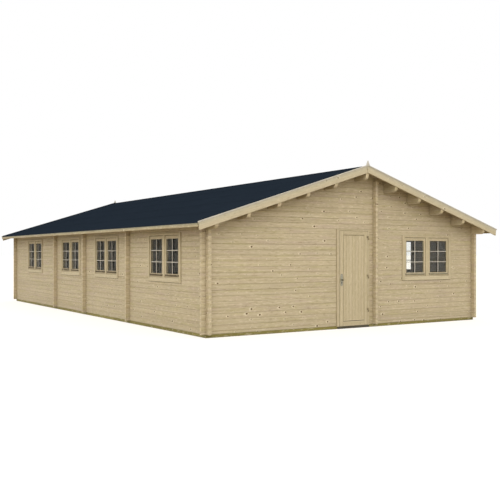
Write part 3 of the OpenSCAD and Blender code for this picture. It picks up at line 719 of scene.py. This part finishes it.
def glazing_bars(bar_rows, seals_and_shadow_strips, g0, g1, h0, h1, place):
    """One upright and two cross bars: outer bars, near black spacers between the panes, inner bars. The
    spacers' near black is painted shade on the bars' sides.
    """
    mid = (g0 + g1) / 2
    # For each layer its front, back, half width, eased edge and gap at the gasket
    layers = ((bar_rows, 0.002, GLASS_FACE, 0.011, 0.003, GASKET_W),
              (seals_and_shadow_strips, 0.0162, 0.0386, 0.0145, 0.001, 0.0),
              (bar_rows, 0.0424, 0.0460, 0.011, 0.0015, 0.0))
    for rows, front, back, bar, edge, gap in layers:
        rows.box((mid - bar, front, h0), (mid + bar, back, h1), 2, place, edge)
        for k in (1, 2):
            z = h0 + (h1 - h0) * k / 3
            for xa, xb in ((g0 + gap, mid - bar), (mid + bar, g1 - gap)):
                rows.box((xa, front + BAR_BACK, z - BAR_HALF_H), (xb, back - BAR_BACK, z + BAR_HALF_H), 0,
                         place, edge)


def on_front(x):
    return lambda p: (x + p[0], -HALF_L + p[1], p[2] - FRONT_LOW)


def on_left(y):
    return lambda p: (-HALF_W + p[1], y - p[0], p[2])


def on_right(y):
    return lambda p: (HALF_W - p[1], y + p[0], p[2])


sets = (("front_window_frame", "front_window_sashes", [on_front(FRONT_WINDOW)]),
        ("left_window_frames", "left_window_sashes", [on_left(y) for y in LEFT_WINDOWS]),
        ("right_window_frames", "right_window_sashes", [on_right(y) for y in RIGHT_WINDOWS]))
for i, (frame_node, sash_node, places) in enumerate(sets):
    rows = [Boards(10 + 10 * k + i) for k in range(7)]
    for place in places:
        window(*rows, place)
    frames, sills, sashes, bar_rows, drip_rows, seals_and_shadow_strips, panes = rows
    drip_shade_paint = front_drips_painted_shade if i == 0 else side_drips_painted_shade
    pane_glass = inner_glass if i == 0 else side_glass
    frames.build(frame_node + "_boards", joinery, "cabin", [frame_node], "joinery_wood")
    sills.build(frame_node + "_sills", low_casing, "cabin", [], "joinery_wood")
    sashes.build(sash_node + "_boards", joinery, "cabin", [sash_node], "joinery_wood")
    bar_rows.build(sash_node + "_bars", bars, "cabin", [], "joinery_wood")
    drip_rows.build(sash_node + "_drips", drip_shade_paint, "cabin", [], "joinery_wood")
    seals_and_shadow_strips.build(sash_node + "_seals", near_black, "cabin", [], "dark_sill")
    panes.build(sash_node + "_inner_panes", pane_glass, "cabin", [], "window_glass")


# Door frame: casing, jambs, head and stops
def door_frame():
    b = Boards(31)
    y = -HALF_L
    clear = HEAD_Z - HEAD_T
    for y0, y1, z0 in ((y - CASE_T, y, SILL_H), (y + LOG_T, y + LOG_T + CASE_T, BASE_H)):
        b.box((JAMB_LEFT - DOOR_CASE_LEFT, y0, z0), (JAMB_LEFT, y1, HEAD_Z), 2, chamfer=PLANED)
        b.box((JAMB_RIGHT, y0, z0), (JAMB_RIGHT + DOOR_CASE_RIGHT, y1, HEAD_Z), 2, chamfer=PLANED)
        b.box((JAMB_LEFT, y0, clear), (JAMB_RIGHT, y1, HEAD_Z), 0, chamfer=PLANED)
    b.box((JAMB_LEFT - JAMB_T, y, SILL_H), (JAMB_LEFT, y + LOG_T, HEAD_Z), 2)
    b.box((JAMB_RIGHT, y, SILL_H), (JAMB_RIGHT + JAMB_T, y + LOG_T, HEAD_Z), 2)
    b.box((JAMB_LEFT, y, clear), (JAMB_RIGHT, y + LOG_T, HEAD_Z), 0)
    s0, s1 = y + STOP_BACK, y + LOG_T + CASE_T
    b.box((JAMB_LEFT, s0, BASE_H), (JAMB_LEFT + STOP_W, s1, clear), 2)
    b.box((JAMB_RIGHT - STOP_W, s0, BASE_H), (JAMB_RIGHT, s1, clear), 2)
    b.box((JAMB_LEFT + STOP_W, s0, clear - STOP_W), (JAMB_RIGHT - STOP_W, s1, clear), 0)
    b.build("door_frame_boards", joinery, "cabin", ["door_frame"], "joinery_wood")


# Door leaf: stiles, rails, beads with near black strips in the gaps as painted shadow lines, and upright
# tongue and groove boards
def door_leaf():
    b, seals_and_shadow_strips = Boards(41), Boards(42)
    y0, y1 = -HALF_L - CASE_T, -HALF_L - CASE_T + LEAF_T
    px0, px1 = LEAF_LEFT + LEAF_STILE, LEAF_RIGHT - LEAF_STILE
    pz0, pz1 = LEAF_Z0 + LEAF_BOTTOM, LEAF_Z1 - LEAF_TOP
    b.box((LEAF_LEFT, y0, LEAF_Z0), (px0, y1, LEAF_Z1), 2, chamfer=PLANED)
    b.box((px1, y0, LEAF_Z0), (LEAF_RIGHT, y1, LEAF_Z1), 2, chamfer=PLANED)
    b.box((px0, y0, LEAF_Z0), (px1, y1, pz0), 0, chamfer=PLANED)
    b.box((px0, y0, pz1), (px1, y1, LEAF_Z1), 0, chamfer=PLANED)
    step = (px1 - px0) / PANEL_BOARDS
    for k in range(PANEL_BOARDS):
        b.box((px0 + k * step, y0 + PANEL_BACK, pz0), (px0 + (k + 1) * step, y1 - PANEL_BACK, pz1), 2,
              chamfer=0.004)
    bx0, bx1 = px0 + BEAD_LEFT, px1 - BEAD_RIGHT
    bz0, bz1 = pz0 + BEAD_LOW, pz1 - BEAD_TOP
    for s, ya in ((1, y0), (-1, y1)):
        for z, up in ((bz0, 1), (bz1, -1)):
            b.prism([(ya + s * (PANEL_BACK - q), z + up * p) for p, q in BEAD], 0, bx0, bx1)
        for x, out in ((bx0, 1), (bx1, -1)):
            b.prism([(x + out * p, ya + s * (PANEL_BACK - q)) for p, q in BEAD], 2, bz0, bz1)
        # Painted shadow lines: near black strips in the gaps round the beads, the low one further forward
        yb, yc, yd = ya + s * GAP_BACK, ya + s * GAP_DEEP, ya + s * GAP_LOW_BACK
        seals_and_shadow_strips.box((px0, yb, bz0), (bx0, yc, bz1), 2, chamfer=GAP_EDGE)
        seals_and_shadow_strips.box((bx1, yb, bz0), (px1, yc, bz1), 2, chamfer=GAP_EDGE)
        seals_and_shadow_strips.box((px0, yd, pz0), (px1, yc, bz0), 0, chamfer=GAP_EDGE)
        seals_and_shadow_strips.box((px0, yb, bz1), (px1, yc, pz1), 0, chamfer=GAP_EDGE)
    b.build("door_leaf_boards", joinery, "door", ["door_leaf"], "joinery_wood")
    seals_and_shadow_strips.build("door_panel_seals", near_black, "door", [], "dark_sill")


def rounded(w, h, r, count=6):
    """Outline of a plate with a width, a height and a radius at its corners."""
    pts = []
    ax, az = w / 2 - r, h / 2 - r
    for k, (cx, cz) in enumerate(((ax, az), (-ax, az), (-ax, -az), (ax, -az))):
        for i in range(count + 1):
            a = math.pi / 2 * (k + i / count)
            pts.append((cx + r * math.cos(a), cz + r * math.sin(a)))
    return pts


def tube(bm, path, radii, count):
    """A round bar along a path of points, closed at both ends."""
    rings = []
    for i, p in enumerate(path):
        ahead = (path[min(i + 1, len(path) - 1)] - path[max(i - 1, 0)]).normalized()
        up = Vector((0.0, 0.0, 1.0))
        out = ahead.cross(up).normalized()
        rings.append([bm.verts.new(p + radii[i] * (math.cos(a) * out + math.sin(a) * up))
                      for a in [2 * math.pi * k / count for k in range(count)]])
    for one, two in zip(rings, rings[1:]):
        for k in range(count):
            bm.faces.new((one[k], one[(k + 1) % count], two[(k + 1) % count], two[k]))
    bm.faces.new(rings[0][::-1])
    bm.faces.new(rings[-1])


def plate(bm, outline, y0, y1, at):
    """A flat plate with an outline in x and z between two planes of y."""
    rings = [[bm.verts.new((at[0] + x, y, at[1] + z)) for x, z in outline] for y in (y0, y1)]
    n = len(outline)
    for k in range(n):
        bm.faces.new((rings[0][k], rings[0][(k + 1) % n], rings[1][(k + 1) % n], rings[1][k]))
    bm.faces.new(rings[0][::-1])
    bm.faces.new(rings[1])


def door_handle():
    """On each face a plate with a knob, a rose with a keyhole, and two screws."""
    x, z = LEAF_LEFT + LEAF_STILE / 2, HANDLE_Z
    metal, knobs, holes = bmesh.new(), bmesh.new(), bmesh.new()
    for face, out in ((-HALF_L - CASE_T, -1), (-HALF_L - CASE_T + LEAF_T, 1)):
        on_plate, on_rose = face + out * PLATE_T, face + out * ROSE_T
        plate(metal, rounded(0.070, 0.264, 0.030), face, on_plate, (x, z))
        tube(knobs, [Vector((x, face + out * d, z)) for d, r in KNOB], [r for d, r in KNOB], 28)
        plate(metal, rounded(0.040, 0.066, 0.0199), on_plate, on_rose, (x, z - 0.070))
        plate(holes, rounded(0.015, 0.034, 0.0074), on_rose, face + out * HOLE_T, (x, z - 0.074))
        plate(holes, rounded(0.026, 0.026, 0.0129), on_rose, face + out * HOLE_T, (x, z - 0.058))
        for dz in (-0.116, 0.116):
            plate(holes, rounded(0.008, 0.008, 0.0039), on_plate, face + out * SCREW_T, (x, z + dz))
    for bm, name, material, replaced in ((metal, "door_handle_plates", steel, ["door_handle"]),
                                         (knobs, "door_handle_knobs", dark_knob_metal, []),
                                         (holes, "door_keyholes", near_black, [])):
        bmesh.ops.recalc_face_normals(bm, faces=bm.faces)
        mesh = bpy.data.meshes.new(name)
        bm.to_mesh(mesh)
        bm.free()
        obj = piece(name, mesh, material, "door", replaced)
        soften(obj, 0.0006, 50)


def on_slope(side, base):
    """Places what is laid out down the slope, along the cabin and square to the slope."""
    return lambda p: (side * (p[0] * COS + p[2] * SIN), p[1], base - p[0] * SIN + p[2] * COS)


# Bargeboards, cut under at the foot; at the peak one of each pair is square and the other scribed to it
def bargeboards():
    for name, side in (("front", -1), ("back", 1)):
        b = Boards(80 + side)
        y0, y1 = side * DECK_Y, side * (DECK_Y + BARGE_T)
        foot = BARGE_END - BARGE_UNDERCUT
        low = BARGE_0 - BARGE_W / COS
        gap = 0.004
        cut = (-BARGE_W * SIN, low + BARGE_W * COS)
        first = [(-BARGE_END, BARGE_0 - SLOPE * BARGE_END), (-foot, low - SLOPE * foot),
                 (-gap * COS, low - gap * SIN), (cut[0] - gap * COS, cut[1] - gap * SIN)]
        second = [(BARGE_END, BARGE_0 - SLOPE * BARGE_END), (0.0, BARGE_0),
                  (cut[0] + gap * COS, cut[1] + gap * SIN), (gap * COS, low + gap * SIN - 0.0012),
                  (foot, low - SLOPE * foot)]
        for outline, lean in ((first, -1), (second, 1)):
            rises = [(lean * x, z - BARGE_0) for x, z in outline]
            flat = [(x * COS - rise * SIN, x * SIN + rise * COS) for x, rise in rises]
            n = len(flat)
            local = [(u, y, v) for y in (y0, y1) for u, v in flat]
            lo = [min(p[k] for p in local) for k in range(3)]
            hi = [max(p[k] for p in local) for k in range(3)]
            f = b.points(local, lo, hi, 0, on_slope(lean, BARGE_0))
            b.face([f + i for i in range(n)])
            b.face([f + n + i for i in range(n)][::-1])
            for i in range(n):
                j = (i + 1) % n
                steep = abs(flat[j][1] - flat[i][1]) > abs(flat[j][0] - flat[i][0])
                b.face([f + i, f + j, f + n + j, f + n + i], 1.0 if steep else 0.0)
        obj = b.build(name + "_barge_pair", gables, "cabin", [name + "_bargeboards"], "trim_wood")
        soften(obj, 0.002, 40)


# Roof boards and felt; the felt is also dressed over the back verge
def roof():
    count, joint, lap, show, sheet = 149, 0.0003, 0.10, 0.90, 0.0028
    for side, name in ((-1, "left"), (1, "right")):
        b = Boards(50 + side)
        step = 2 * DECK_Y / count
        length = (EAVES_X - FASCIA_T) / COS - 0.007
        for k in range(count):
            y = -DECK_Y + k * step
            b.box((0.001, y + joint, 0.0), (length, y + step - joint, BOARD_T), 0,
                  on_slope(side, BOARD_0), 0.004)
        b.build(name + "_roof_board_rows", decking, "cabin", [name + "_roof_boards"], "floor_wood")
        f = Boards(60 + side)
        place = on_slope(side, FELT_0)
        low = EAVES_X / COS - 0.0025
        lift = 0.0
        while low > 0.01:
            high = max(0.002, low - show - lap)
            strip = [(lift, low), (lift + sheet, low - 0.0005), (sheet, high), (0.0, high)]
            f.prism(strip, 1, -DECK_Y, DECK_Y, place)
            low -= show
            lift = 0.003
        ridge = [(0.0058, 0.16), (0.0086, 0.1595), (0.0086, 0.0), (0.0058, 0.0)]
        f.prism(ridge, 1, -DECK_Y, DECK_Y, place)
        lip = (BARGE_0 - FELT_0) * COS
        reach = (BARGE_END - lip * SIN) / COS - 0.002
        inner, outer = DECK_Y - 0.003, DECK_Y + BARGE_T + TRIM_T - 0.0005
        f.box((0.003, inner, 0.004), (reach, DECK_Y, lip), 0, place, SEALED)
        f.box((0.003, inner, lip), (reach, outer, lip + 0.002), 0, place, SEALED)
        f.build(name + "_felt_strips", felt, "cabin", [name + "_roofing"], "roofing_felt")


def floor_rows():
    """Floor boards butted end to end, two joints in each row."""
    b = Boards(70)
    count = 65
    step = 2 * (HALF_W - LOG_T) / count
    ends = -HALF_L + LOG_T, HALF_L - LOG_T
    for k in range(count):
        x = -HALF_W + LOG_T + k * step
        cuts = [ends[0]] + sorted(b.rng.uniform(ends[0] + 1.0, ends[1] - 1.0) for _ in range(2)) + [ends[1]]
        for y0, y1 in zip(cuts, cuts[1:]):
            b.box((x, y0, BASE_H - FLOOR_T), (x + step, y1, BASE_H), 1, chamfer=0.0015)
    b.build("floor_board_rows", flooring, "cabin", ["floor_boards"], "floor_wood")


door_frame()
door_leaf()
door_handle()
bargeboards()
roof()
floor_rows()


# Floor of the studio, light and camera
def stage_floor():
    """A floor that is pale to the eye and in reflections, and dimmer as a source of light."""
    g = Graph("studio_floor")
    path = g.node("LightPath")
    seen = g.math("MAXIMUM", path.outputs["Is Camera Ray"],
                  g.math("MAXIMUM", path.outputs["Is Glossy Ray"], path.outputs["Is Transmission Ray"]))
    base = g.node("BsdfDiffuse", {"Color": (0.33, 0.29, 0.23, 1.0)})
    glow = g.node("Emission", {"Color": (1.0, 1.0, 1.0, 1.0), "Strength": g.mul(seen, 0.75)})
    both = g.node("AddShader")
    g.tree.links.new(base.outputs[0], both.inputs[0])
    g.tree.links.new(glow.outputs[0], both.inputs[1])
    g.tree.links.new(both.outputs[0], g.out.inputs[0])
    mesh = bpy.data.meshes.new("studio_floor")
    far, level = 400.0, -0.002
    corners = [(-far, -far, level), (far, -far, level), (far, far, level), (-far, far, level)]
    mesh.from_pydata(corners, [], [(0, 1, 2, 3)])
    obj = bpy.data.objects.new("studio_floor", mesh)
    bpy.context.scene.collection.objects.link(obj)
    mesh.materials.append(g.mat)


def world_light(strength):
    """Even light from all round; white to the eye and in reflections."""
    world = bpy.data.worlds.new("studio")
    bpy.context.scene.world = world
    world.use_nodes = True
    tree = world.node_tree
    tree.nodes.clear()
    out = tree.nodes.new("ShaderNodeOutputWorld")
    mix = tree.nodes.new("ShaderNodeMixShader")
    path = tree.nodes.new("ShaderNodeLightPath")
    soft = tree.nodes.new("ShaderNodeBackground")
    white = tree.nodes.new("ShaderNodeBackground")
    soft.inputs["Strength"].default_value = strength
    soft.inputs["Color"].default_value = (1.0, 1.0, 1.0, 1.0)
    white.inputs["Strength"].default_value = 1.0
    white.inputs["Color"].default_value = (1.0, 1.0, 1.0, 1.0)
    one = tree.nodes.new("ShaderNodeMath")
    two = tree.nodes.new("ShaderNodeMath")
    one.operation = two.operation = "MAXIMUM"
    tree.links.new(path.outputs["Is Glossy Ray"], one.inputs[0])
    tree.links.new(path.outputs["Is Transmission Ray"], one.inputs[1])
    tree.links.new(path.outputs["Is Camera Ray"], two.inputs[0])
    tree.links.new(one.outputs[0], two.inputs[1])
    tree.links.new(two.outputs[0], mix.inputs[0])
    tree.links.new(soft.outputs[0], mix.inputs[1])
    tree.links.new(white.outputs[0], mix.inputs[2])
    tree.links.new(mix.outputs[0], out.inputs[0])


def lamp(name, place, aim, size, watts):
    data = bpy.data.lights.new(name, "AREA")
    data.shape, data.size, data.energy = "DISK", size, watts
    obj = bpy.data.objects.new(name, data)
    obj.location = place
    obj.rotation_euler = (Vector(aim) - Vector(place)).to_track_quat("-Z", "Y").to_euler()
    bpy.context.scene.collection.objects.link(obj)


def camera():
    data = bpy.data.cameras.new("photo_camera")
    data.sensor_width, data.lens = 36.0, 53.548
    data.shift_y = 0.00654
    data.clip_end = 2000.0
    obj = bpy.data.objects.new("photo_camera", data)
    obj.location = (-10.890, -19.498, 1.6595)
    obj.rotation_euler = (math.radians(90), 0.0, math.radians(-32.486))
    bpy.context.scene.collection.objects.link(obj)
    bpy.context.scene.camera = obj


stage_floor()
world_light(strength=1.335)
lamp("front_soft", place=(-20.0, -26.5, 15.5), aim=(0.0, -4.0, 1.6), size=24.0, watts=2190.0)
lamp("back_soft", place=(16.0, 24.0, 12.0), aim=(0.0, 4.0, 1.6), size=14.0, watts=800.0)
camera()
bpy.context.scene.view_settings.view_transform = "Standard"
